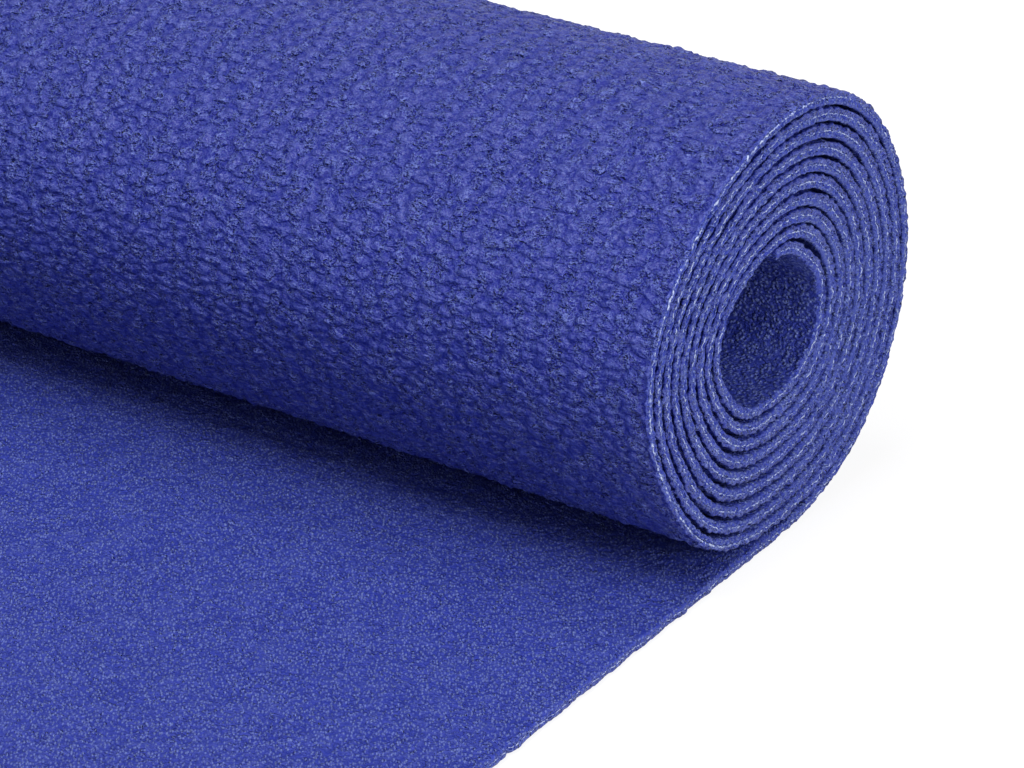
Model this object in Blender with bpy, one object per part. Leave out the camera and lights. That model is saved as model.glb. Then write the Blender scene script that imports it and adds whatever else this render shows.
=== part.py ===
"""Travel mat: a thin foam mat, most of it rolled up, with its free end lying flat in front of the roll.

The mat is one laminated sheet: a top skin, a knitted scrim and a base skin. The base skin faces out on the roll
and down on the floor. The sheet winds inwards from the floor contact in an even spiral. The free end is divided
at fold lines across the mat, so that it can curl up round the roll. Units are metres, +Z is up, and the mat's
width lies along X.
"""

import math

import bmesh
import bpy
from mathutils import Matrix, Vector

# Driving sizes
mat_width = 0.61
tail_length = 0.2154
skin_thickness = 0.00075
scrim_thickness = 0.0002
bond_gap = 0.00015
turn_gap = 0.0005
core_radius = 0.0125
fold_gap = 0.0003
foot_slack = 0.001

# The roll sags under its own weight: this share wider than round, and this share lower
sag_share = 0.03

# Counts
turn_count = 9.5
facets_per_turn = 32
fold_count = 6

# Sizes that follow
sheet_thickness = 2 * skin_thickness + scrim_thickness + 2 * bond_gap
turn_pitch = sheet_thickness + turn_gap
roll_radius = core_radius + sheet_thickness + turn_count * turn_pitch
roll_reach = (roll_radius - turn_pitch / 4) * (1 + sag_share)
contact_y = (tail_length - roll_reach) / 2
roll_centre_z = roll_radius * (1 - sag_share)
panel_length = (tail_length - foot_slack) / (fold_count + 0.5)
foot_length = panel_length / 2 + foot_slack

# Heights of the three plies above the mat's underside
base_skin_span = (0.0, skin_thickness)
scrim_span = (skin_thickness + bond_gap, skin_thickness + bond_gap + scrim_thickness)
top_skin_span = (sheet_thickness - skin_thickness, sheet_thickness)

# Colours as linear RGB, and roughness
foam_blue = (0.047, 0.062, 0.33)
base_foam_blue = (0.052, 0.071, 0.35)
scrim_blue = (0.30, 0.38, 0.68)
foam_roughness = 0.62
base_foam_roughness = 0.5
scrim_roughness = 0.8


def clear_scene():
    """Remove every object that is in the scene already."""
    for item in list(bpy.data.objects):
        bpy.data.objects.remove(item, do_unlink=True)


def make_material(name, colour, roughness):
    """A plain Principled material."""
    material = bpy.data.materials.new(name)
    material.use_nodes = True
    shader = material.node_tree.nodes["Principled BSDF"]
    shader.inputs["Base Color"].default_value = (*colour, 1.0)
    shader.inputs["Roughness"].default_value = roughness
    shader.inputs["Metallic"].default_value = 0.0
    return material


def flat_point(distance, height):
    """Y and Z on the free end, this far in front of the floor contact and this high above the mat's underside."""
    return contact_y - distance, height


def wound_point(turn, height):
    """Y and Z in the winding, this many turns in from the floor contact and this far in from the underside."""
    radius = roll_radius - turn_pitch * turn
    angle = 2 * math.pi * turn
    y = contact_y + (radius * (1 + sag_share) - height) * math.sin(angle)
    z = roll_centre_z - (radius * (1 - sag_share) - height) * math.cos(angle)
    return y, z


def roll_stations():
    """Where the roll's facets meet: the flat foot's two ends, then the winding from the outside in."""
    facet_count = round(turn_count * facets_per_turn)
    foot = [(flat_point, foot_length - fold_gap / 2), (flat_point, 0.0)]
    winding = [(wound_point, turn_count * (i + 1) / facet_count) for i in range(facet_count)]
    return foot + winding


def panel_stations(index):
    """The two ends of one flat panel of the free end, numbered from the roll outwards."""
    start = foot_length + index * panel_length + fold_gap / 2
    is_last = index == fold_count - 1
    end = tail_length if is_last else foot_length + (index + 1) * panel_length - fold_gap / 2
    return [(flat_point, end), (flat_point, start)]


def make_strip(name, stations, span, material):
    """One ply of one stretch of the mat: a grid laid along the stations, then extruded over the mat's width."""
    mesh = bpy.data.meshes.new(name)
    bm = bmesh.new()
    steps = len(stations) - 1
    bmesh.ops.create_grid(bm, x_segments=steps, y_segments=1, size=1.0)
    for vert in bm.verts:
        place, value = stations[round((vert.co.x + 1) / 2 * steps)]
        y, z = place(value, span[1] if vert.co.y > 0 else span[0])
        vert.co = (-mat_width / 2, y, z)
    extruded = bmesh.ops.extrude_face_region(bm, geom=bm.faces[:])
    moved = [item for item in extruded["geom"] if isinstance(item, bmesh.types.BMVert)]
    bmesh.ops.translate(bm, verts=moved, vec=Vector((mat_width, 0.0, 0.0)))
    bmesh.ops.recalc_face_normals(bm, faces=bm.faces[:])
    bm.to_mesh(mesh)
    bm.free()
    mesh.materials.append(material)
    item = bpy.data.objects.new(name, mesh)
    bpy.context.collection.objects.link(item)
    return item


def make_pivot(name, place, parent=None):
    """An empty at a point of the frame, parented without moving."""
    pivot = bpy.data.objects.new(name, None)
    pivot.empty_display_size = sheet_thickness
    bpy.context.collection.objects.link(pivot)
    pivot["place"] = place
    if parent is not None:
        pivot.parent = parent
        pivot.location = place - Vector(parent["place"])
    else:
        pivot.location = place
    return pivot


def hang_on(item, pivot):
    """Give a piece, made in the frame's own coordinates, its origin on a pivot, and parent it there."""
    item.data.transform(Matrix.Translation(-Vector(pivot["place"])))
    item.parent = pivot


def make_plies(prefix, stations, pivot, materials):
    """The three plies of one stretch."""
    spans = {"top_skin": top_skin_span, "scrim": scrim_span, "base_skin": base_skin_span}
    for ply, span in spans.items():
        hang_on(make_strip(f"{prefix}_{ply}", stations, span, materials[ply]), pivot)


def least_turn_gap():
    """The least distance between one turn's outer face and the face of the turn around it, on all facet ends."""
    stations = [turn for place, turn in roll_stations() if place is wound_point]
    gaps = []
    for turn in stations:
        if turn < 1:
            continue
        inner = Vector(wound_point(turn, 0.0))
        around = [other for other in stations if abs(other - (turn - 1)) < 2.5 / facets_per_turn]
        for first, second in zip(around, around[1:]):
            a = Vector(wound_point(first, sheet_thickness))
            b = Vector(wound_point(second, sheet_thickness))
            along = b - a
            share = min(max((inner - a).dot(along) / along.length_squared, 0.0), 1.0)
            gaps.append((inner - (a + along * share)).length)
    return min(gaps)


def wound_length():
    """Length of sheet in the winding, along the middle of its thickness."""
    mean_radius = roll_radius - sheet_thickness / 2 - turn_pitch * turn_count / 2
    return 2 * math.pi * turn_count * mean_radius


def main():
    clear_scene()
    materials = {
        "top_skin": make_material("top_foam", foam_blue, foam_roughness),
        "scrim": make_material("scrim_yarn", scrim_blue, scrim_roughness),
        "base_skin": make_material("base_foam", base_foam_blue, base_foam_roughness),
    }

    roll = make_pivot("roll_centre", Vector((0.0, contact_y, roll_centre_z)))
    make_plies("roll", roll_stations(), roll, materials)

    parent = roll
    for index in range(fold_count):
        distance = foot_length + index * panel_length
        y, z = flat_point(distance, sheet_thickness)
        parent = make_pivot(f"fold_{index + 1}", Vector((0.0, y, z)), parent)
        make_plies(f"tail_{index + 1}", panel_stations(index), parent, materials)
        print(f"fold_{index + 1} axis at y {y:.6f} z {z:.6f}")

    print(f"roll radius {roll_radius * 1000:.2f} mm, roll centre at y {contact_y * 1000:.3f} z {roll_centre_z * 1000:.3f} mm")
    print(f"mat length {wound_length() + tail_length:.4f} m, of which wound {wound_length():.4f} m")
    print(f"least gap between turns {least_turn_gap() * 1000:.3f} mm")


main()
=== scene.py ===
import math

import bpy
import numpy as np
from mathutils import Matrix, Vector


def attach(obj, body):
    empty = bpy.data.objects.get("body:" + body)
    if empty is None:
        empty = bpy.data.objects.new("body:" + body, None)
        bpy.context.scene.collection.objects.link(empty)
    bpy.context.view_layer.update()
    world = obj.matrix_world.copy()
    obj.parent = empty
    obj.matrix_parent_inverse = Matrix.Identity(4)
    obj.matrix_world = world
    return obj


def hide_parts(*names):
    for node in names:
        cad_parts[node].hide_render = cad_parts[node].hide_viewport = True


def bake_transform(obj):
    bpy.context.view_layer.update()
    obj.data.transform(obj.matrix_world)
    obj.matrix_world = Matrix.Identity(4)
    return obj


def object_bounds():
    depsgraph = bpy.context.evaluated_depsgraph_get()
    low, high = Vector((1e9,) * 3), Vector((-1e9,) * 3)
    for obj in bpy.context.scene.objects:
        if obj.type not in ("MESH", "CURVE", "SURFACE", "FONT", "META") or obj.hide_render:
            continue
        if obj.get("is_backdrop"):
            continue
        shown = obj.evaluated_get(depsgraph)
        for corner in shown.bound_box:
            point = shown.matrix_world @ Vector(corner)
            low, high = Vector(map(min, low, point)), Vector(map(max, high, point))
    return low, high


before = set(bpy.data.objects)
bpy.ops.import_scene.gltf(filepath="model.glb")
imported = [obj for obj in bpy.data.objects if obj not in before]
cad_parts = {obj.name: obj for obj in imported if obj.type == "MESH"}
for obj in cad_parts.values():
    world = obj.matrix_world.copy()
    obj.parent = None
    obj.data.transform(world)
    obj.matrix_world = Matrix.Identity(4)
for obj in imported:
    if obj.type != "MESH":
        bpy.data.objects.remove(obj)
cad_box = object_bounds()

MM = 0.001

# Sizes of the mat, as in the part's source, in metres
mat_width = 0.61
tail_length = 0.2154
skin_thickness = 0.75 * MM
scrim_thickness = 0.2 * MM
bond_gap = 0.15 * MM
turn_gap = 0.5 * MM
core_radius = 12.5 * MM
foot_slack = 1.0 * MM
sag_share = 0.03
turn_count = 9.5
fold_count = 6
sheet_thickness = 2 * skin_thickness + scrim_thickness + 2 * bond_gap
turn_pitch = sheet_thickness + turn_gap
roll_radius = core_radius + sheet_thickness + turn_count * turn_pitch
roll_reach = (roll_radius - turn_pitch / 4) * (1 + sag_share)
contact_y = (tail_length - roll_reach) / 2
panel_length = (tail_length - foot_slack) / (fold_count + 0.5)
foot_length = panel_length / 2 + foot_slack
half_width = mat_width / 2

# How the photographed roll departs from the even spiral: waves round the outline, as order, cosine and sine
# shares of the radius, and how far the core lies off centre
outline_waves = [
    (2, -0.009, 0.018),
    (3, 0.002, 0.011),
    (4, 0.0, -0.0135),
    (5, -0.006, -0.002),
    (6, -0.004, 0.001),
]
core_shift_y = -3.3 * MM
core_shift_z = 1.5 * MM

# The core is flatter than the roll, by this share of its radius
core_squash = 0.09

# Before the inner end the sheet sags away from the turn outside it, and at the end it rests against that turn
tip_sag = 0.7 * MM
tip_sag_place = 10.5 * MM
tip_sag_length = 4.5 * MM
tip_lift = 0.2 * MM
tip_lift_length = 4.0 * MM

# Spacing of the knit below the foam, along the sheet and across it, in millimetres
knit_row = 3.6
knit_column = 3.7

# Base skin's lumps, along the sheet and across it, and heights of what makes up its relief, in millimetres
lump_length = 1.9
lump_width = 3.1
lump_height = 0.62
small_fold_height = 0.18
base_grain_height = 0.08
base_wave_height = 0.06
knit_row_height = 0.05
base_level = -0.38
floor_press = 0.20

# Top skin's dots and the heights of what makes up its relief, in millimetres
dot_size = 1.1
dot_height = 0.17
top_wave_height = 0.11
top_fold_height = 0.12
top_level = -0.10

# The cut edges, in millimetres: the knife's wander and its bites on the free end, how far the foam stands out
# where it is torn, and how far it is dragged up beside the cut
knife_wander = 0.12
bite_depth = 1.3
bite_length = 3.5
lifted_height = 0.14
torn_height = 0.22
torn_grain_height = 0.12
dragged_height = 0.22
dragged_grain_height = 0.15
free_end_fade = 6.0

# Depths at which the cut faces have rows of points, at the photographed end and the other, in millimetres
near_cut_depths = (0.95, 0.86, 0.74, 0.60)
far_cut_depths = (0.70, 0.95)

# Edges of the sheet
corner_radius = 0.45 * MM
ply_depth = 0.95 * MM
scrim_groove = 0.10 * MM
scrim_inset = 0.3 * MM
free_end_round = 0.5 * MM
edge_reach = 5.0 * MM
beside_reach = 1.6 * MM
swell_height = 0.24 * MM

# The scrim's yarn where it shows along the cut edges, in millimetres
zigzag_length = 0.95
zigzag_depth = 0.08
yarn_wander = 0.10
yarn_outer_shift = 0.22
yarn_half = 0.085
yarn_half_least = 0.03
yarn_proud = 0.15
yarn_inset = 0.08

# Corners of the yarn at one edge: height in shares of its half thickness, and share of how far it stands out
yarn_section = ((-0.99, 0.0), (-0.55, 1.0), (0.55, 1.0), (0.99, 0.0))

# Steps of the meshes
edge_step = 0.36 * MM
fine_step = 0.38 * MM
split_step = 0.45 * MM
middle_step = 0.5 * MM
far_step = 3.2 * MM
scrim_step = 0.18 * MM

# Where the finely meshed stretch near the photographed end stops
near_zone_end = half_width - 160 * MM
near_zone_split = half_width - 80 * MM

# Places across the mat at which the meshes get coarser
coarse_from = -0.05
back_split = 0.22
back_coarse_from = 0.05
core_split = 0.24
core_coarse_from = 0.15

# The flat map, as shares of its width and height: where the profile and the inner face end across it, the
# margin at both ends of the sheet's length, and the strips of the two end caps. Then the least and the most
# that a step of the profile counts for
map_face_end = 0.96
map_inner_end = 0.975
map_margin = 0.005
map_cap_start = 0.98
map_cap_width = 0.009
map_cap_height = 0.45
map_first_cap = 0.02
map_last_cap = 0.52
map_step_least = 0.1 * MM
map_step_most = 5 * MM

# Turns at which the roll's pieces meet
face_start_turn = 0.40
face_end_turn = 1.06
core_start_turn = 8.45
foot_end_turn = 0.02


def outline_wave(angle):
    """Share of the radius by which the roll's outline stands out at an angle from the floor contact."""
    total = np.zeros_like(angle)
    for order, cosine, sine in outline_waves:
        total = total + cosine * (np.cos(order * angle) - 1) + sine * np.sin(order * angle)
    return total


def wound_place(turn, height):
    """Y and Z in the winding: so many turns in from the floor contact, and so far in from the underside."""
    radius = roll_radius - turn_pitch * turn
    angle = 2 * np.pi * turn
    wave = outline_wave(angle)
    share = turn / turn_count
    y = contact_y + (radius * (1 + sag_share + wave) - height) * np.sin(angle) + core_shift_y * share
    z = roll_radius * (1 - sag_share) + core_shift_z * share
    z = z - (radius * (1 - sag_share + wave - core_squash * share ** 1.5) - height) * np.cos(angle)
    return y, z


turn_table = np.linspace(0.0, turn_count, 40001)
wound_y, wound_z = wound_place(turn_table, sheet_thickness / 2)
arc_table = np.concatenate([[0.0], np.cumsum(np.hypot(np.diff(wound_y), np.diff(wound_z)))])
wound_length = arc_table[-1]


def along(turn):
    """Distance along the sheet from the floor contact to a turn of the winding."""
    return float(np.interp(turn, turn_table, arc_table))


def sheet_place(distance, height):
    """Y and Z of a place on the sheet. Distance is along the sheet from the floor contact, and it is negative
    on the free end."""
    turn = np.interp(distance, arc_table, turn_table)
    from_tip = wound_length - distance
    sag = tip_sag * np.exp(-((from_tip - tip_sag_place) / tip_sag_length) ** 2)
    lift = tip_lift * np.exp(-(from_tip / tip_lift_length) ** 2)
    y, z = wound_place(turn, height + sag - lift)
    flat = distance < 0
    return np.where(flat, contact_y + distance, y), np.where(flat, height, z)


# Noise on a plane


def lattice_value(seed, first, second):
    """An even random number from 0 to 1 for each point of a whole-number lattice."""
    value = np.full(first.shape, (seed * 2654435761) % 2 ** 32, np.uint32)
    for cell in (first, second):
        value = (value ^ cell.astype(np.int64).astype(np.uint32)) * np.uint32(0x85EBCA6B)
        value ^= value >> np.uint32(13)
        value *= np.uint32(0xC2B2AE35)
        value ^= value >> np.uint32(16)
    return value / 2.0 ** 32


def smooth(share):
    """A share from 0 to 1 with soft ends."""
    share = np.clip(share, 0.0, 1.0)
    return share * share * (3 - 2 * share)


def noise(seed, a, b):
    """Smooth noise from about -1 to 1, with features about one unit across."""
    a0, b0 = np.floor(a), np.floor(b)
    part_a, part_b = a - a0, b - b0
    share_a, share_b = smooth(part_a), smooth(part_b)
    total = np.zeros_like(part_a)
    for step_a in (0, 1):
        for step_b in (0, 1):
            angle = 2 * np.pi * lattice_value(seed, a0 + step_a, b0 + step_b)
            slope = np.cos(angle) * (part_a - step_a) + np.sin(angle) * (part_b - step_b)
            weight = (share_a if step_a else 1 - share_a) * (share_b if step_b else 1 - share_b)
            total += weight * slope
    return total * 1.5


def pebbles(seed, a, b):
    """Irregular cells about one unit across: how far a place is from its cell's border, the cell's own
    number, and how far the cell's top leans up or down at the place."""
    a0, b0 = np.floor(a), np.floor(b)
    nearest = np.full(a.shape, 9.0)
    second = np.full(a.shape, 9.0)
    level = np.zeros(a.shape)
    lean = np.zeros(a.shape)
    for step_a in (-1, 0, 1):
        for step_b in (-1, 0, 1):
            cell_a, cell_b = a0 + step_a, b0 + step_b
            centre_a = cell_a + 0.5 + 0.85 * (lattice_value(seed, cell_a, cell_b) - 0.5)
            centre_b = cell_b + 0.5 + 0.85 * (lattice_value(seed + 1, cell_a, cell_b) - 0.5)
            reach = np.hypot(a - centre_a, b - centre_b)
            is_nearest = reach < nearest
            second = np.where(is_nearest, nearest, np.minimum(second, reach))
            level = np.where(is_nearest, lattice_value(seed + 2, cell_a, cell_b), level)
            slope_a = lattice_value(seed + 3, cell_a, cell_b) - 0.5
            slope_b = lattice_value(seed + 4, cell_a, cell_b) - 0.5
            lean = np.where(is_nearest, slope_a * (a - centre_a) + slope_b * (b - centre_b), lean)
            nearest = np.where(is_nearest, reach, nearest)
    return second - nearest, level, lean


# Relief of the sheet's faces, in metres, on the distance along the sheet and the place across it


def knit_share(distance, x):
    """How far a place lies in the columns of the knit below, where the foam is rougher: from 0 to 1."""
    a, b = distance / MM, x / MM
    return 0.5 + 0.5 * np.cos(2 * np.pi * (b + 1.2 * noise(14, a / 6, b / 6)) / knit_column)


def base_relief(distance, x):
    """The lumpy relief of the base skin's outer face, pressed level where it lies on the floor, and how far
    each place is from the border of its lump."""
    a, b = distance / MM, x / MM
    drift_a = 0.6 * noise(3, a / 3.2, b / 4.5) + 0.35 * noise(4, a / 1.3, b / 1.5)
    drift_b = 0.7 * noise(5, a / 3.2, b / 4.5) + 0.4 * noise(6, a / 1.3, b / 1.5)
    border, level, lean = pebbles(7, (a + drift_a) / lump_length, (b + drift_b) / lump_width)
    dome = 1 - (1 - np.clip(border / 0.9, 0.0, 1.0)) ** 2.2
    lump = dome * (0.45 + 0.50 * level + 0.9 * lean)
    small = 2.4 * np.abs(noise(11, a / 1.3, b / 1.8)) - 0.8
    grain = noise(12, a / 0.85, b / 0.95) * (0.3 + 1.2 * knit_share(distance, x))
    wide = noise(13, a / 7.0, b / 9.0)
    rows = np.cos(2 * np.pi * (a + 0.8 * noise(15, a / 6, b / 6)) / knit_row)
    relief = lump_height * lump + small_fold_height * small + base_grain_height * grain
    relief += base_wave_height * wide + knit_row_height * rows + base_level
    pressed = np.minimum(relief + floor_press, 0.0)
    return np.where(distance < 0, pressed, relief) * MM, border


def top_relief(distance, x):
    """The finer dotted relief of the top skin's face, and how far each place is from its dot's border."""
    a, b = distance / MM, x / MM
    drift_a, drift_b = 0.3 * noise(22, a, b), 0.3 * noise(23, a, b)
    border, level, _ = pebbles(21, (a + drift_a) / dot_size, (b + drift_b) / dot_size)
    dots = smooth(border / 0.5) * (0.4 + 0.8 * level)
    wide = noise(24, a / 5.5, b / 7.0)
    middle = noise(25, a / 2.2, b / 2.2)
    return (dot_height * dots + top_wave_height * wide + top_fold_height * middle + top_level) * MM, border


def edge_wander(distance, end):
    """How far the knife wandered at one end of the sheet's width, 1 or -1: more on the free end, with small
    bites."""
    a = distance / MM
    row = 7.0 * end + 0 * a
    slow = noise(31, a / 5.0, row) + 0.6 * noise(38, a / 2.4, row)
    bites = np.clip(noise(39, a / bite_length, row) - 0.42, 0.0, 1.0)
    on_free_end = smooth(-a / free_end_fade)
    return (knife_wander * slow * (1 + 1.5 * on_free_end) - bite_depth * bites * on_free_end) * MM


def cut_relief(distance, height):
    """How far the cut edge stands out where the foam is torn."""
    a, b = distance / MM, height / MM
    lifted = lifted_height * noise(32, a / 1.6, b / 3.0)
    torn = torn_height * noise(33, a / 0.9, b / 0.7) + torn_grain_height * noise(34, a / 0.55, b / 0.5)
    return (lifted + torn) * (1 - 0.65 * smooth(-a / free_end_fade)) * MM


def edge_swell(distance, side):
    """How much fuller the sheet is beside its cut edges on the far side of the winding, where turns press
    together: not on the roll's outer face or in its open core."""
    turn = np.interp(distance, arc_table, turn_table)
    pressed = turn > 1 if side > 0 else (turn > 0) & (turn < core_start_turn)
    return swell_height * smooth(0.3 + np.sin(2 * np.pi * turn)) * pressed


def crumple(distance, x):
    """Extra relief of a face beside its cut edges, where the knife has dragged the foam."""
    a = distance / MM
    fade = smooth(1 - (half_width - np.abs(x)) / beside_reach) * (1 - 0.5 * smooth(-a / free_end_fade))
    shifted = a + np.where(x > 0, 0.0, 500.0)
    dragged = dragged_height * noise(36, shifted / 1.4, 0 * a)
    dragged += dragged_grain_height * noise(37, shifted / 0.75, 0 * a)
    return fade * dragged * MM


# Profiles across the sheet


def graded(start, end, first_step, last_step):
    """Places from start to end whose spacing changes evenly from the first step to the last."""
    count = max(1, round(abs(end - start) / ((first_step + last_step) / 2)))
    steps = np.linspace(first_step, last_step, count)
    places = np.concatenate([[0.0], np.cumsum(steps)]) / steps.sum()
    return start + (end - start) * places


def corner_point(angle, end):
    """A row of a profile on the rounded corner beside a cut, at an angle from the face. End is 1 or -1."""
    turned = math.radians(angle)
    x = end * (half_width - corner_radius * (1 - math.sin(turned)))
    depth = corner_radius * (1 - math.cos(turned))
    return x, depth, end * math.sin(turned), -math.cos(turned), angle / 90


def ply_profile(columns, near_cut, far_cut):
    """Across the sheet, from the end in the photograph to the other: one ply's outline as X, depth from the
    ply's own face, outward direction and how far it belongs to the cut. The face is at depth 0."""
    rows = []
    if near_cut:
        for depth in near_cut_depths:
            rows.append((half_width, depth * MM, 1.0, 0.0, 1.0))
        for angle in (90, 68, 45, 22):
            rows.append(corner_point(angle, 1))
    else:
        rows.append((columns[0], ply_depth, 0.0, 0.0, 0.0))
    for x in columns:
        rows.append((x, 0.0, 0.0, -1.0, 0.0))
    if far_cut:
        for angle in (30, 60, 90):
            rows.append(corner_point(angle, -1))
        for depth in far_cut_depths:
            rows.append((-half_width, depth * MM, -1.0, 0.0, 1.0))
    else:
        rows.append((columns[-1], ply_depth, 0.0, 0.0, 0.0))
    return np.array(rows)


def face_columns(start, end, *steps):
    """Columns of a face, in stretches that share their ends: place, step, place, step and so on."""
    parts = []
    places = [start, *steps[1::2], end]
    for index, first in enumerate(places[:-1]):
        step = steps[2 * index]
        low, high = step if isinstance(step, tuple) else (step, step)
        stretch = graded(first, places[index + 1], low, high)
        parts.append(stretch if index == 0 else stretch[1:])
    return np.concatenate(parts)


near_edge_x = half_width - corner_radius
far_edge_x = -near_edge_x


def stations(start, end, step, round_end=0):
    """Distances along the sheet, with extra ones near an end that is free: -1 the first, 1 the last."""
    line = np.linspace(start, end, max(2, round(abs(end - start) / step) + 1))
    if round_end:
        tip = end if round_end > 0 else start
        extra = tip - round_end * free_end_round * np.array([0.03, 0.15, 0.4, 0.75, 1.1])
        line = line[np.abs(line - tip) > free_end_round * 1.2]
        line = np.unique(np.concatenate([line, extra, [tip]]))
    return line


def make_mesh_object(name, points, loops_per_face, corners, smooth_faces, material):
    """A mesh object from arrays of points and of face corners."""
    mesh = bpy.data.meshes.new(name)
    mesh.vertices.add(len(points))
    mesh.vertices.foreach_set("co", points.astype(np.float32).ravel())
    mesh.loops.add(len(corners))
    mesh.loops.foreach_set("vertex_index", corners.astype(np.int32))
    mesh.polygons.add(len(loops_per_face))
    starts = np.concatenate([[0], np.cumsum(loops_per_face)[:-1]])
    mesh.polygons.foreach_set("loop_start", starts.astype(np.int32))
    mesh.polygons.foreach_set("loop_total", loops_per_face.astype(np.int32))
    mesh.update(calc_edges=True)
    mesh.polygons.foreach_set("use_smooth", smooth_faces)
    mesh.materials.append(material)
    item = bpy.data.objects.new(name, mesh)
    bpy.context.collection.objects.link(item)
    return item


def carried_share(profile):
    """How much of the relief the columns of a profile are close enough to carry, from 0 to 1."""
    step = np.abs(np.gradient(profile[:, 0]))
    return np.where(profile[:, 4] > 0, 1.0, smooth((1.3 * MM - step) / (0.6 * MM)))


def sweep(name, line, profile, side, material, round_end=0):
    """One stretch of a skin: its profile carried along the sheet and closed at both ends. Side is 1 for the
    base skin, whose face is at the sheet's underside, and -1 for the top skin."""
    rows, columns = len(line), len(profile)
    x0, depth, out_x, out_h, cut = (np.broadcast_to(profile[:, k], (rows, columns)) for k in range(5))
    distance = np.broadcast_to(line[:, None], (rows, columns))
    taper = np.ones((rows, columns))
    if round_end:
        tip = line[-1] if round_end > 0 else line[0]
        inside = np.clip(1 - np.abs(distance - tip) / free_end_round, 0, 1)
        taper = 0.35 + 0.65 * np.sqrt(1 - inside ** 2)
    relief = np.zeros((rows, columns))
    on_face = profile[:, 3] < 0
    on_cut = profile[:, 4] > 0
    face_relief = base_relief if side > 0 else top_relief
    border = np.ones((rows, columns))
    face_part, border[:, on_face] = face_relief(distance[:, on_face], x0[:, on_face])
    carried = carried_share(profile)
    face_part *= carried[on_face]
    if on_cut.any():
        face_part += crumple(distance[:, on_face] + side, x0[:, on_face])
    relief[:, on_face] = (1 - cut[:, on_face]) * face_part
    height = depth if side > 0 else sheet_thickness - depth
    shifted = distance + np.where(x0 > 0, 0.0, 0.5)
    relief[:, on_cut] += cut[:, on_cut] * cut_relief(shifted[:, on_cut], height[:, on_cut])
    beside_cut = smooth(1 - (half_width - np.abs(x0)) / beside_reach) * (cut < 1)
    relief += beside_cut * edge_swell(distance, side)
    groove = scrim_groove * smooth((depth - 0.6 * MM) / (0.35 * MM)) * (cut >= 1)
    relief = relief * taper - groove
    end = np.where(x0 > 0, 1.0, -1.0)
    near_edge = smooth(1 - (half_width - np.abs(x0)) / edge_reach)
    x = x0 + out_x * relief + end * near_edge * edge_wander(distance, end)
    depth = ply_depth - (ply_depth - depth - out_h * relief) * taper
    height = depth if side > 0 else sheet_thickness - depth
    y, z = sheet_place(distance, height)
    points = np.stack([x, y, z], axis=-1).reshape(-1, 3)

    index = np.arange(rows * columns).reshape(rows, columns)
    here, there = index[:-1], index[1:]
    quads = np.stack([here, np.roll(here, -1, 1), np.roll(there, -1, 1), there], axis=-1)
    if side < 0:
        quads = quads[..., ::-1]
    first_cap, last_cap = index[0], index[-1][::-1]
    if side > 0:
        first_cap, last_cap = first_cap[::-1], last_cap[::-1]
    corners = np.concatenate([quads.reshape(-1), first_cap, last_cap])
    face_count = (rows - 1) * columns
    loops = np.concatenate([np.full(face_count, 4), [columns, columns]])
    is_smooth = np.concatenate([np.ones(face_count, bool), [False, False]])
    item = make_mesh_object(name, points, loops, corners, is_smooth, material)
    mesh = item.data

    place = np.stack([distance / MM, x0 / MM, height / MM], axis=-1).reshape(-1, 3)
    attribute = mesh.attributes.new("place", "FLOAT_VECTOR", "POINT")
    attribute.data.foreach_set("vector", place.astype(np.float32).ravel())
    carried = np.broadcast_to(carried, (rows, columns))
    for label, values in (("relief", relief / MM), ("border", border), ("cut", cut), ("carried", carried)):
        attribute = mesh.attributes.new(label, "FLOAT", "POINT")
        attribute.data.foreach_set("value", values.astype(np.float32).ravel())
    corners_across = [0, columns - 1]
    if profile[0, 4] == 0:
        corners_across.append(1)
    if profile[-1, 4] == 0:
        corners_across.append(columns - 2)
    mark_sharp_edges(mesh, [index[0], index[-1]] + [index[:, j] for j in corners_across])
    write_map(mesh, line, profile, side)
    return item


def mark_sharp_edges(mesh, runs):
    """Sharp edges along runs of vertices, so that the faces beyond them don't bend the shading."""
    ends = np.zeros(len(mesh.vertices), bool)
    edges = np.empty(len(mesh.edges) * 2, np.int32)
    mesh.edges.foreach_get("vertices", edges)
    edges = edges.reshape(-1, 2)
    sharp = np.zeros(len(edges), bool)
    for run in runs:
        ends[:] = False
        ends[run] = True
        sharp |= ends[edges].all(axis=1)
    attribute = mesh.attributes.new("sharp_edge", "BOOLEAN", "EDGE")
    attribute.data.foreach_set("value", sharp)


def write_map(mesh, line, profile, side):
    """A flat map of the piece for whoever bakes it: the profile across, then the inner face and the two end
    caps in narrow strips, and the sheet's length up."""
    rows, columns = len(line), len(profile)
    step = np.hypot(np.diff(profile[:, 0]), np.diff(profile[:, 1]))
    step = np.clip(step, map_step_least, map_step_most)
    across = np.concatenate([[0.0], np.cumsum(step)]) / step.sum() * map_face_end
    across = np.append(across, map_inner_end)
    up = map_margin + (1 - 2 * map_margin) * (line - line[0]) / (line[-1] - line[0])
    here = np.broadcast_to(across[:-1], (rows - 1, columns))
    after = np.broadcast_to(across[1:], (rows - 1, columns))
    low = np.broadcast_to(up[:-1, None], (rows - 1, columns))
    high = np.broadcast_to(up[1:, None], (rows - 1, columns))
    corners = [np.stack(pair, -1) for pair in ((here, low), (after, low), (after, high), (here, high))]
    if side < 0:
        corners = corners[::-1]
    face_part = np.stack(corners, axis=2).reshape(-1, 2)
    cap_across = map_cap_start + map_cap_width * profile[:, 1] / ply_depth
    cap_up = map_cap_height * (profile[:, 0] + half_width) / mat_width
    first = np.stack([cap_across, map_first_cap + cap_up], -1)
    last = np.stack([cap_across, map_last_cap + cap_up], -1)
    if side > 0:
        first = first[::-1]
    else:
        last = last[::-1]
    layer = mesh.uv_layers.new(name="OFBake")
    layer.data.foreach_set("uv", np.concatenate([face_part, first, last]).astype(np.float32).ravel())


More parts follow.
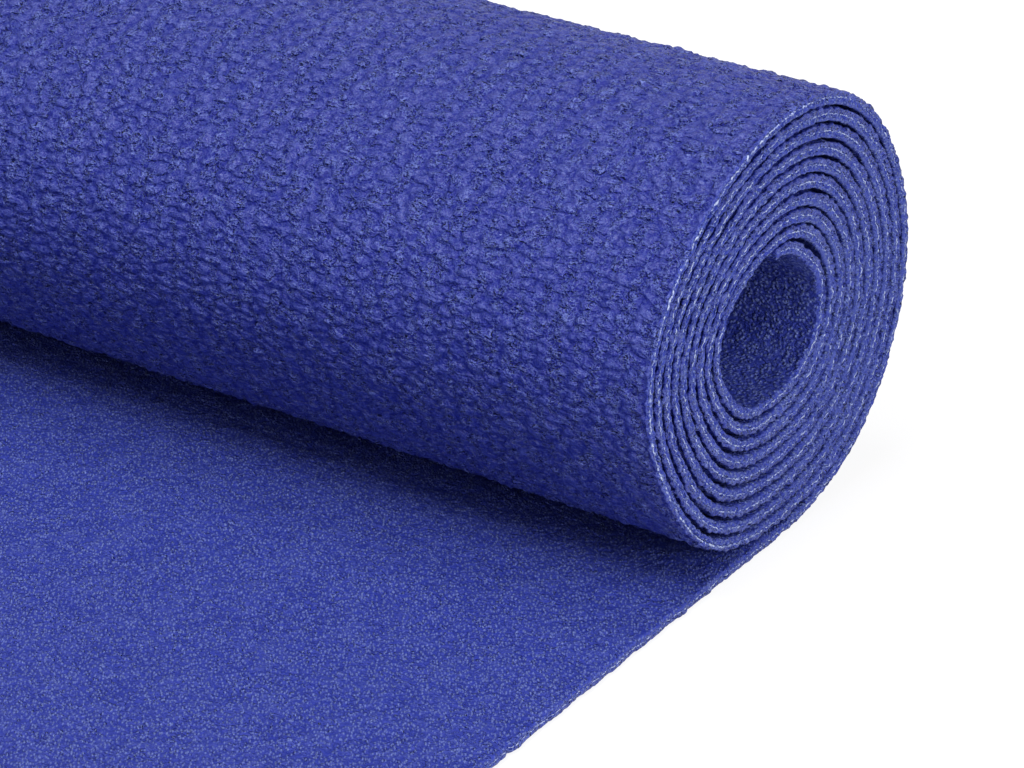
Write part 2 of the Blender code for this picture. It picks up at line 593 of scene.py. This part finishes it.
def scrim_strip(name, line, material):
    """The scrim: a thin ribbon in the middle of the sheet, whose cut edges stand out as a wavy line of yarn.
    On the outer turn's visible stretch, the yarn is thicker and nearer to the outside."""
    rows = len(line)
    a = line / MM
    row = 0 * a
    zigzag = zigzag_depth * np.sin(2 * np.pi * (a + 0.5 * noise(41, a / 2.2, row)) / zigzag_length)
    zigzag += yarn_wander * noise(42, a / 0.9, row)
    turn = np.interp(line, arc_table, turn_table)
    outer = smooth((turn - 0.42) / 0.1) * smooth((0.98 - turn) / 0.08)
    middle = sheet_thickness / 2 + (zigzag - yarn_outer_shift * outer) * MM
    half = yarn_half + 0.06 * outer + 0.05 * noise(43, a / 0.6, row) + 0.03 * noise(44, a / 2.0, row)
    half = np.maximum(half, yarn_half_least) * MM
    out = yarn_proud + 0.12 * outer + 0.07 * noise(45, a / 0.5, row) + 0.05 * noise(46, a / 1.7, row)
    torn = cut_relief(line, np.full_like(line, sheet_thickness / 2)) - scrim_groove
    section = [(1, level, proud) for level, proud in yarn_section]
    section += [(-1, -level, proud) for level, proud in yarn_section]
    columns = len(section)
    x = np.zeros((rows, columns))
    height = np.zeros((rows, columns))
    for j, (end, level, proud) in enumerate(section):
        x[:, j] = end * (half_width + edge_wander(line, end) + torn + (proud * out - yarn_inset) * MM)
        height[:, j] = middle + level * half
    distance = np.broadcast_to(line[:, None], (rows, columns))
    y, z = sheet_place(distance, height)
    points = np.stack([x, y, z], axis=-1).reshape(-1, 3)
    index = np.arange(rows * columns).reshape(rows, columns)
    here, there = index[:-1], index[1:]
    quads = np.stack([here, there, np.roll(there, -1, 1), np.roll(here, -1, 1)], axis=-1)
    corners = np.concatenate([quads.reshape(-1), index[0], index[-1][::-1]])
    face_count = (rows - 1) * columns
    loops = np.concatenate([np.full(face_count, 4), [columns, columns]])
    is_smooth = np.concatenate([np.ones(face_count, bool), [False, False]])
    item = make_mesh_object(name, points, loops, corners, is_smooth, material)
    place = np.stack([distance / MM, x / MM, height / MM], axis=-1).reshape(-1, 3)
    attribute = item.data.attributes.new("place", "FLOAT_VECTOR", "POINT")
    attribute.data.foreach_set("vector", place.astype(np.float32).ravel())
    mark_sharp_edges(item.data, [index[0], index[-1]])
    return item


# Materials

yarn_blue = (0.05, 0.08, 0.38)
yarn_pale = (0.50, 0.58, 0.82)
yarn_dot_scale = 1.7
yarn_bump = 0.1 * MM
cut_foam_blue = (0.032, 0.060, 0.44)

# How much of a cut face shows the fresh foam's blue, over what height hollows begin, in millimetres, and how
# far from a crease a fold is fully up, in the noise's own measure
fresh_share = 0.6
hollow_range = 0.16
fold_flank = 0.13


def new_material(name):
    """A material with its Principled shader and node tree."""
    material = bpy.data.materials.new(name)
    material.use_nodes = True
    return material, material.node_tree, material.node_tree.nodes["Principled BSDF"]


def add_noise(nodes, links, place, scale, detail, roughness=0.55):
    """A noise texture on the sheet's own places, in millimetres."""
    texture = nodes.new("ShaderNodeTexNoise")
    texture.inputs["Scale"].default_value = scale
    texture.inputs["Detail"].default_value = detail
    texture.inputs["Roughness"].default_value = roughness
    links.new(place.outputs["Vector"], texture.inputs["Vector"])
    return texture.outputs["Fac"]


def add_dots(nodes, links, place, scale):
    """Scattered round dots on the sheet's own places: 1 in the middle of each and 0 between them."""
    texture = nodes.new("ShaderNodeTexVoronoi")
    texture.inputs["Scale"].default_value = scale
    links.new(place.outputs["Vector"], texture.inputs["Vector"])
    return add_range(nodes, links, texture.outputs["Distance"], 0.6, 0.0)


def add_ridges(nodes, links, place, scale):
    """Thin curved ridges on the sheet's own places: 1 along each and 0 between them."""
    field = add_noise(nodes, links, place, scale, 1.0)
    from_ridge = add_math(nodes, links, "ABSOLUTE", add_math(nodes, links, "SUBTRACT", field, 0.5), 0.0)
    return add_range(nodes, links, from_ridge, 0.20, 0.0)


def add_range(nodes, links, value, low, high, to_low=0.0, to_high=1.0):
    """A value stretched from one range to another, and held at its ends."""
    stretch = nodes.new("ShaderNodeMapRange")
    stretch.inputs["From Min"].default_value = low
    stretch.inputs["From Max"].default_value = high
    stretch.inputs["To Min"].default_value = to_low
    stretch.inputs["To Max"].default_value = to_high
    links.new(value, stretch.inputs["Value"])
    return stretch.outputs["Result"]


def add_mix(nodes, links, factor, first, second):
    """A mix of two colours, each a socket or a plain colour."""
    mix = nodes.new("ShaderNodeMix")
    mix.data_type = "RGBA"
    links.new(factor, mix.inputs["Factor"])
    for name, colour in (("A", first), ("B", second)):
        if isinstance(colour, tuple):
            mix.inputs[name].default_value = (*colour, 1)
        else:
            links.new(colour, mix.inputs[name])
    return mix.outputs["Result"]


def add_math(nodes, links, operation, first, second):
    """One operation on two values, each a socket or a number."""
    node = nodes.new("ShaderNodeMath")
    node.operation = operation
    for index, value in enumerate((first, second)):
        if isinstance(value, (int, float)):
            node.inputs[index].default_value = value
        else:
            links.new(value, node.inputs[index])
    return node.outputs["Value"]


def add_bump(nodes, links, height, distance, strength, below=None):
    """A bump in metres, on top of another."""
    bump = nodes.new("ShaderNodeBump")
    bump.inputs["Distance"].default_value = distance
    if isinstance(strength, float):
        bump.inputs["Strength"].default_value = strength
    else:
        links.new(strength, bump.inputs["Strength"])
    links.new(height, bump.inputs["Height"])
    if below is not None:
        links.new(below, bump.inputs["Normal"])
    return bump.outputs["Normal"]


def add_attribute(nodes, name):
    """A value kept on the piece's points."""
    node = nodes.new("ShaderNodeAttribute")
    node.attribute_name = name
    return node


def drawn_lumps(nodes, links, place, cell):
    """Distance from the border of an irregular cell, for lumps that the mesh is too coarse to carry."""
    bend = nodes.new("ShaderNodeTexNoise")
    bend.inputs["Scale"].default_value = 0.45
    bend.inputs["Detail"].default_value = 1.5
    links.new(place.outputs["Vector"], bend.inputs["Vector"])
    warp = nodes.new("ShaderNodeVectorMath")
    warp.operation = "MULTIPLY_ADD"
    warp.inputs[1].default_value = (3.4, 4.0, 0.0)
    links.new(bend.outputs["Color"], warp.inputs[0])
    links.new(place.outputs["Vector"], warp.inputs[2])
    cells = nodes.new("ShaderNodeTexVoronoi")
    cells.feature = "DISTANCE_TO_EDGE"
    cells.inputs["Scale"].default_value = 1 / cell
    links.new(warp.outputs["Vector"], cells.inputs["Vector"])
    return cells.outputs["Distance"]


def knit_columns(nodes, links, place):
    """How far a place lies in the columns of the knit below, from 0 to 1."""
    parts = nodes.new("ShaderNodeSeparateXYZ")
    links.new(place.outputs["Vector"], parts.inputs["Vector"])
    sway = add_range(nodes, links, add_noise(nodes, links, place, 0.16, 1.0), 0.0, 1.0, -4.0, 4.0)
    turned = add_math(nodes, links, "MULTIPLY", parts.outputs["Y"], 2 * math.pi / knit_column)
    wave = add_math(nodes, links, "COSINE", add_math(nodes, links, "ADD", turned, sway), 0.0)
    return add_range(nodes, links, wave, -1.0, 1.0)


def add_squeezed(nodes, links, place, along_share, across_share, turned=0.0):
    """The sheet's own places, drawn together along or across the mat, or along a line turned from it by an
    angle, so that what is laid on them is longer there."""
    turn = nodes.new("ShaderNodeVectorRotate")
    turn.rotation_type = "Z_AXIS"
    turn.inputs["Angle"].default_value = turned
    links.new(place.outputs["Vector"], turn.inputs["Vector"])
    node = nodes.new("ShaderNodeVectorMath")
    node.operation = "MULTIPLY"
    node.inputs[1].default_value = (along_share, across_share, 1.0)
    links.new(turn.outputs["Vector"], node.inputs[0])
    return node


def foam_material(name, painted_shade_blue, dark, light, pale, fresh, roughness, shine, fold_scale, fold_depth, grain_kind,
                  grain_scale, grain_squeeze, grain_depth, edge_depth, hollow_from, painted_shade_share,
                  between_shade_share, crease_width, crease_shade_share, speck_from, speck_range, speck_share, painted_top_share,
                  patch_low, knit_part, cell=0.0, lump_depth=0.0):
    """Closed-cell foam: a mottled colour, folds and round lumps, a fine grain in patches, painted shade in
    the relief's hollows, near the lumps' borders and along the narrow creases between folds, painted
    highlights on the relief's tops, and pale specks in the patches that are partly the foam's own and partly
    painted glints.
    With a cell size, lumps that a coarse mesh can't carry come from the material, with painted shade at their
    borders."""
    material, tree, shader = new_material(name)
    nodes, links = tree.nodes, tree.links
    place = add_attribute(nodes, "place")
    squeezed = add_squeezed(nodes, links, place, 1.0, 0.55)
    stretched = add_squeezed(nodes, links, place, *grain_squeeze)
    relief = add_attribute(nodes, "relief").outputs["Fac"]
    cut = add_attribute(nodes, "cut").outputs["Fac"]

    wide = add_noise(nodes, links, place, 0.30, 1.0)
    folds = add_noise(nodes, links, squeezed, fold_scale, 2.0, 0.55)
    add_grain = {"dots": add_dots, "ridges": add_ridges}[grain_kind]
    grain = add_grain(nodes, links, stretched, grain_scale)
    knit = knit_columns(nodes, links, place)

    mottle = add_range(nodes, links, wide, 0.35, 0.65)
    patch = add_math(nodes, links, "ADD", wide, add_math(nodes, links, "MULTIPLY", knit, knit_part))
    patch = add_range(nodes, links, patch, 0.42 + knit_part / 2, 0.58 + knit_part / 2, patch_low, 1.0)
    patch = add_math(nodes, links, "MAXIMUM", patch, cut)
    from_crease = add_math(nodes, links, "ABSOLUTE", add_math(nodes, links, "SUBTRACT", folds, 0.5), 0.0)

    ragged = add_math(nodes, links, "ADD", relief, add_range(nodes, links, folds, 0.3, 0.7, -0.12, 0.12))
    # Painted shade: the colour goes darker in the relief's hollows, where less light reaches
    painted_shade = add_range(nodes, links, ragged, hollow_from, hollow_from - hollow_range, 0.0, painted_shade_share)
    border = add_attribute(nodes, "border").outputs["Fac"]
    border = add_math(nodes, links, "ADD", border, add_range(nodes, links, folds, 0.35, 0.65, -0.12, 0.12))
    # Painted shade near the lumps' borders
    between = add_range(nodes, links, border, 0.34, 0.0, 0.0, between_shade_share)
    painted_shade = add_math(nodes, links, "MAXIMUM", painted_shade, between)
    normal = None
    if cell:
        carried = add_attribute(nodes, "carried").outputs["Fac"]
        uncarried = add_range(nodes, links, carried, 1.0, 0.0)
        border = drawn_lumps(nodes, links, place, cell)
        # Painted shade at the borders of the lumps that the material draws
        drawn = add_math(nodes, links, "MULTIPLY", add_range(nodes, links, border, 0.07, 0.0), uncarried)
        painted_shade = add_math(nodes, links, "MAXIMUM", painted_shade, drawn)
        normal = add_bump(nodes, links, add_range(nodes, links, border, 0.0, 0.25), lump_depth, uncarried)
    # Painted shade along the folds' narrow creases, in the patches
    crease_shade = add_range(nodes, links, from_crease, crease_width, 0.0, 0.0, crease_shade_share)
    painted_shade = add_math(nodes, links, "MAXIMUM", painted_shade, add_math(nodes, links, "MULTIPLY", crease_shade, patch))

    # Pale specks on the grain, partly the foam's own and partly painted glints
    specks_and_glints = add_range(nodes, links, grain, speck_from, speck_from + speck_range, 0.0, speck_share)
    specks_and_glints = add_math(nodes, links, "MULTIPLY", specks_and_glints, patch)
    # Painted highlight: the relief's tops are paler, as if lit from above
    painted_tops = add_range(nodes, links, ragged, -0.02, 0.30, 0.0, painted_top_share)
    pale_specks_and_highlights = add_math(nodes, links, "MAXIMUM", specks_and_glints, painted_tops)

    body = add_mix(nodes, links, mottle, dark, light)
    body = add_mix(nodes, links, add_range(nodes, links, cut, 0.0, 1.0, 0.0, fresh_share), body, fresh)
    # The pale blue of the specks and of the painted highlights
    body = add_mix(nodes, links, pale_specks_and_highlights, body, pale)
    # The dark blue of the painted shade
    body = add_mix(nodes, links, painted_shade, body, painted_shade_blue)
    links.new(body, shader.inputs["Base Color"])

    edge = add_range(nodes, links, ragged, hollow_from, hollow_from + hollow_range)
    normal = add_bump(nodes, links, edge, edge_depth, 1.0, normal)
    fold = add_range(nodes, links, from_crease, 0.0, fold_flank)
    normal = add_bump(nodes, links, fold, fold_depth, patch, normal)
    normal = add_bump(nodes, links, grain, grain_depth, patch, normal)
    links.new(normal, shader.inputs["Normal"])
    shader.inputs["Roughness"].default_value = roughness
    # Where shade is painted, the specular level drops too
    shine_left = add_range(nodes, links, painted_shade, 0.0, 0.7, shine, 0.1 * shine)
    links.new(shine_left, shader.inputs["Specular IOR Level"])
    return material


def scrim_material():
    """Polyester yarn: pale, broken into dots where loops of the knit are cut."""
    material, tree, shader = new_material("scrim_yarn_look")
    nodes, links = tree.nodes, tree.links
    dots = add_noise(nodes, links, add_attribute(nodes, "place"), yarn_dot_scale, 2.0, 0.5)
    ramp = nodes.new("ShaderNodeValToRGB")
    for element, (position, colour) in zip(ramp.color_ramp.elements, ((0.44, yarn_blue), (0.62, yarn_pale))):
        element.position = position
        element.color = (*colour, 1)
    links.new(dots, ramp.inputs["Fac"])
    links.new(ramp.outputs["Color"], shader.inputs["Base Color"])
    links.new(add_bump(nodes, links, dots, yarn_bump, 0.7), shader.inputs["Normal"])
    shader.inputs["Roughness"].default_value = 0.75
    return material


base_settings = {
    # Blue of the painted shade in hollows, creases and between lumps
    "painted_shade_blue": (0.005, 0.010, 0.18),
    "dark": (0.0113, 0.0182, 0.223),
    "light": (0.0166, 0.0242, 0.261),
    # Pale of the specks, partly painted glints, and of the painted highlights on tops
    "pale": (0.13, 0.18, 0.52),
    "fresh": cut_foam_blue,
    "roughness": 0.42,
    "shine": 0.40,
    "fold_scale": 0.72,
    "fold_depth": 0.50 * MM,
    "grain_kind": "ridges",
    "grain_scale": 1.9,
    "grain_squeeze": (0.9, 0.9),
    "grain_depth": 0.13 * MM,
    "edge_depth": 0.16 * MM,
    "hollow_from": -0.33,
    "painted_shade_share": 0.20,
    "between_shade_share": 0.42,
    "crease_width": 0.020,
    "crease_shade_share": 0.50,
    "speck_from": 0.55,
    "speck_range": 0.35,
    "speck_share": 0.75,
    "painted_top_share": 0.16,
    "patch_low": 0.40,
    "knit_part": 0.20,
}
base_look = foam_material("base_foam_look", **base_settings)
base_look_wide = foam_material("base_foam_look_wide", cell=2.4, lump_depth=0.45 * MM, **base_settings)
top_settings = {
    # Blue of the painted shade in hollows and creases
    "painted_shade_blue": (0.007, 0.014, 0.22),
    "dark": (0.021, 0.035, 0.285),
    "light": (0.027, 0.043, 0.33),
    # Pale of the specks, partly painted glints, and of the painted highlights on tops
    "pale": (0.19, 0.25, 0.58),
    "fresh": cut_foam_blue,
    "roughness": 0.50,
    "shine": 0.26,
    "fold_scale": 1.4,
    "fold_depth": 0.20 * MM,
    "grain_kind": "dots",
    "grain_scale": 2.3,
    "grain_depth": 0.26 * MM,
    "edge_depth": 0.10 * MM,
    "hollow_from": -0.12,
    "painted_shade_share": 0.30,
    "between_shade_share": 0.0,
    "crease_width": 0.02,
    "crease_shade_share": 0.40,
    "speck_from": 0.12,
    "speck_range": 0.60,
    "speck_share": 0.80,
    "painted_top_share": 0.22,
    "patch_low": 0.75,
    "knit_part": 0.0,
}
top_look = foam_material("top_foam_look", grain_squeeze=(0.5, 1.0, 0.59), **top_settings)
# Painted light: inside the roll the top skin is a lighter copy with more pale specks, for light in the dim
# core
lit_core_settings = top_settings | {
    "dark": (0.028, 0.044, 0.32),
    "light": (0.034, 0.052, 0.36),
    "grain_scale": 1.7,
    "speck_share": 1.0,
}
lit_core_look = foam_material("top_foam_look_core_lit", grain_squeeze=(0.9, 0.9), **lit_core_settings)
scrim_look = scrim_material()

# Pieces of the roll

near_columns = face_columns(near_edge_x, near_zone_split, (fine_step, split_step))
middle_columns = face_columns(near_zone_split, near_zone_end, (split_step, middle_step))
far_columns = face_columns(near_zone_end, far_edge_x, (middle_step, far_step), coarse_from, far_step)
tail_columns = face_columns(near_edge_x, far_edge_x, (fine_step, middle_step), near_zone_end,
                            (middle_step, far_step), coarse_from, far_step)
back_steps = np.array([0.6, 2.0, 4.0]) * MM
back_columns = face_columns(near_edge_x, far_edge_x, tuple(back_steps[:2]), back_split, tuple(back_steps[1:]),
                            back_coarse_from, back_steps[2])
core_steps = np.array([0.45, 0.6, 5.0]) * MM
core_columns = face_columns(near_edge_x, far_edge_x, tuple(core_steps[:2]), core_split, tuple(core_steps[1:]),
                            core_coarse_from, core_steps[2])
beside_edge = np.array([0.0, 0.5, 1.2, 3.0, 10.0]) * MM
inner_columns = np.concatenate([near_edge_x - beside_edge, far_edge_x + beside_edge[:3][::-1]])

near_profile = ply_profile(near_columns, True, False)
middle_profile = ply_profile(middle_columns, False, False)
far_profile = ply_profile(far_columns, False, True)
back_profile = ply_profile(back_columns, True, True)
inner_profile = ply_profile(inner_columns, True, True)
core_profile = ply_profile(core_columns, True, True)
tail_profile = ply_profile(tail_columns, True, True)

face_start, face_end = along(face_start_turn), along(face_end_turn)
core_start, foot_end = along(core_start_turn), along(foot_end_turn)
face_line = stations(face_start, face_end, edge_step)


def foam_look(profile, side):
    """The material for a skin: each skin has two, the base skin for finely and for coarsely meshed pieces,
    and the top skin for its flat and for its wound stretch, whose dots are larger and aren't drawn out, and
    whose colours are a lighter copy, painted light for the dim inside of the roll."""
    if side < 0:
        return top_look if profile is tail_profile else lit_core_look
    is_coarse = np.abs(np.diff(profile[:, 0])).max() > 1 * MM and len(profile) > 40
    return base_look_wide if is_coarse else base_look


def roll_piece(name, line, profile, side, tip=0):
    """One stretch of a skin that belongs to the roll, attached to the roll's body in place of the part's own
    piece, which is hidden.
    """
    item = sweep(name, line, profile, side, foam_look(profile, side), tip)
    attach(item, "roll")
    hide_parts("roll_base_skin" if side > 0 else "roll_top_skin")


back_line = stations(-foot_length, face_start, edge_step)
inner_line = stations(face_end, wound_length, edge_step, 1)
winding_line = stations(foot_end, core_start, edge_step)
core_line = stations(core_start, wound_length, edge_step, 1)
foot_line = stations(-foot_length, foot_end, edge_step)

roll_piece("roll_base_near", face_line, near_profile, 1)
roll_piece("roll_base_middle", face_line, middle_profile, 1)
roll_piece("roll_base_far", face_line, far_profile, 1)
roll_piece("roll_base_back", back_line, back_profile, 1)
roll_piece("roll_base_inner", inner_line, inner_profile, 1, 1)
roll_piece("roll_top_winding", winding_line, inner_profile, -1)
roll_piece("roll_top_core", core_line, core_profile, -1, 1)
roll_piece("roll_top_foot", foot_line, tail_profile, -1)

scrim_line = stations(-foot_length, wound_length - scrim_inset, scrim_step)
roll_scrim = scrim_strip("roll_scrim_yarn", scrim_line, scrim_look)
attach(roll_scrim, "roll")
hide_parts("roll_scrim")

# Panels of the free end, each in two halves that meet at its middle, the last one whole

for number in range(1, fold_count + 1):
    before = "roll" if number == 1 else f"tail_{number - 1}"
    body = f"tail_{number}"
    after = f"tail_{number + 1}"
    near = foot_length + (number - 1) * panel_length
    middle = near + panel_length / 2
    is_last = number == fold_count
    far = tail_length if is_last else near + panel_length
    tip = -1 if is_last else 0
    halves = [("inner", near, middle, near, before, body), ("outer", middle, far, far, body, after)]
    if is_last:
        halves = [("whole", near, far, near, before, body)]
    for half, from_here, to_here, hinge, first_body, second_body in halves:
        for ply in ("top", "base", "scrim"):
            if ply == "scrim":
                line = stations(-to_here + (scrim_inset if is_last else 0), -from_here, scrim_step)
                item = scrim_strip(f"{body}_scrim_yarn_{half}", line, scrim_look)
                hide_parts(f"{body}_scrim")
            else:
                side = 1 if ply == "base" else -1
                profile = back_profile if ply == "base" else tail_profile
                line = stations(-to_here, -from_here, edge_step, tip)
                item = sweep(f"{body}_{ply}_foam_{half}", line, profile, side, foam_look(profile, side), tip)
                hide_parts(f"{body}_{ply}_skin")
            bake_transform(item)

# Camera

camera_place = Vector((0.57456, -0.38809, 0.30927))
camera_target = Vector((0.25498, 0.08832, 0.0131))
camera_data = bpy.data.cameras.new("camera")
camera_data.sensor_width = 36
camera_data.lens = 140.6
camera = bpy.data.objects.new("camera", camera_data)
camera.location = camera_place
camera.rotation_euler = (camera_target - camera_place).to_track_quat("-Z", "Y").to_euler()
bpy.context.collection.objects.link(camera)
bpy.context.scene.camera = camera

# Floor, backdrop and light

floor_reach = 8.0
floor_drop = 0.3 * MM
floor_light = 0.84
world_light = 0.18
floor_mesh = bpy.data.meshes.new("floor")
floor_corners = [(floor_reach * x, floor_reach * y, 0) for x, y in ((-1, -1), (1, -1), (1, 1), (-1, 1))]
floor_mesh.from_pydata(floor_corners, [], [(0, 1, 2, 3)])
floor = bpy.data.objects.new("floor", floor_mesh)
floor.location.z = -floor_drop
bpy.context.collection.objects.link(floor)
floor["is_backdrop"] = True


def seen_ray(nodes, links):
    """1 for camera, glossy and transmission rays, which see the plain background, and else 0."""
    path = nodes.new("ShaderNodeLightPath")
    seen = path.outputs["Is Camera Ray"]
    for name in ("Is Glossy Ray", "Is Transmission Ray"):
        seen = add_math(nodes, links, "MAXIMUM", seen, path.outputs[name])
    return seen


floor_material = bpy.data.materials.new("floor_white")
floor_material.use_nodes = True
nodes, links = floor_material.node_tree.nodes, floor_material.node_tree.links
nodes.clear()
output = nodes.new("ShaderNodeOutputMaterial")
plain = nodes.new("ShaderNodeBsdfDiffuse")
plain.inputs["Color"].default_value = (0.8, 0.8, 0.8, 1)
shown = nodes.new("ShaderNodeBsdfDiffuse")
shown.inputs["Color"].default_value = (0.25, 0.25, 0.25, 1)
glow = nodes.new("ShaderNodeEmission")
glow.inputs["Strength"].default_value = floor_light
add = nodes.new("ShaderNodeAddShader")
links.new(shown.outputs["BSDF"], add.inputs[0])
links.new(glow.outputs["Emission"], add.inputs[1])
mix = nodes.new("ShaderNodeMixShader")
links.new(seen_ray(nodes, links), mix.inputs["Fac"])
links.new(plain.outputs["BSDF"], mix.inputs[1])
links.new(add.outputs["Shader"], mix.inputs[2])
links.new(mix.outputs["Shader"], output.inputs["Surface"])
floor_mesh.materials.append(floor_material)

world = bpy.data.worlds.new("studio")
world.use_nodes = True
bpy.context.scene.world = world
nodes, links = world.node_tree.nodes, world.node_tree.links
background = nodes["Background"]
background.inputs["Color"].default_value = (1, 1, 1, 1)
strength = add_range(nodes, links, seen_ray(nodes, links), 0.0, 1.0, world_light, 1.0)
links.new(strength, background.inputs["Strength"])


def area_light(name, place, target, size, power):
    """A square soft lamp that faces a point."""
    data = bpy.data.lights.new(name, "AREA")
    data.size = size
    data.energy = power
    lamp = bpy.data.objects.new(name, data)
    lamp.location = place
    lamp.rotation_euler = (Vector(target) - Vector(place)).to_track_quat("-Z", "Y").to_euler()
    bpy.context.collection.objects.link(lamp)


aim = (0.2, 0.05, 0.02)
area_light("top_light", (0.1, 0.1, 1.3), aim, 0.45, 3.0)
area_light("key_light", (0.1, -0.45, 1.2), aim, 0.45, 9.8)
area_light("end_light", (1.3, -0.2, 0.5), aim, 0.5, 6.5)
area_light("high_light", (1.1, 0.1, 1.0), aim, 0.5, 3.0)
area_light("low_light", (0.3, -1.3, 0.25), aim, 0.5, 2.7)

bpy.context.scene.view_settings.view_transform = "Standard"

boxes = {"cad": cad_box, "visual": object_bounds()}
boxes = {name: [[float(value) for value in corner] for corner in box] for name, box in boxes.items()}
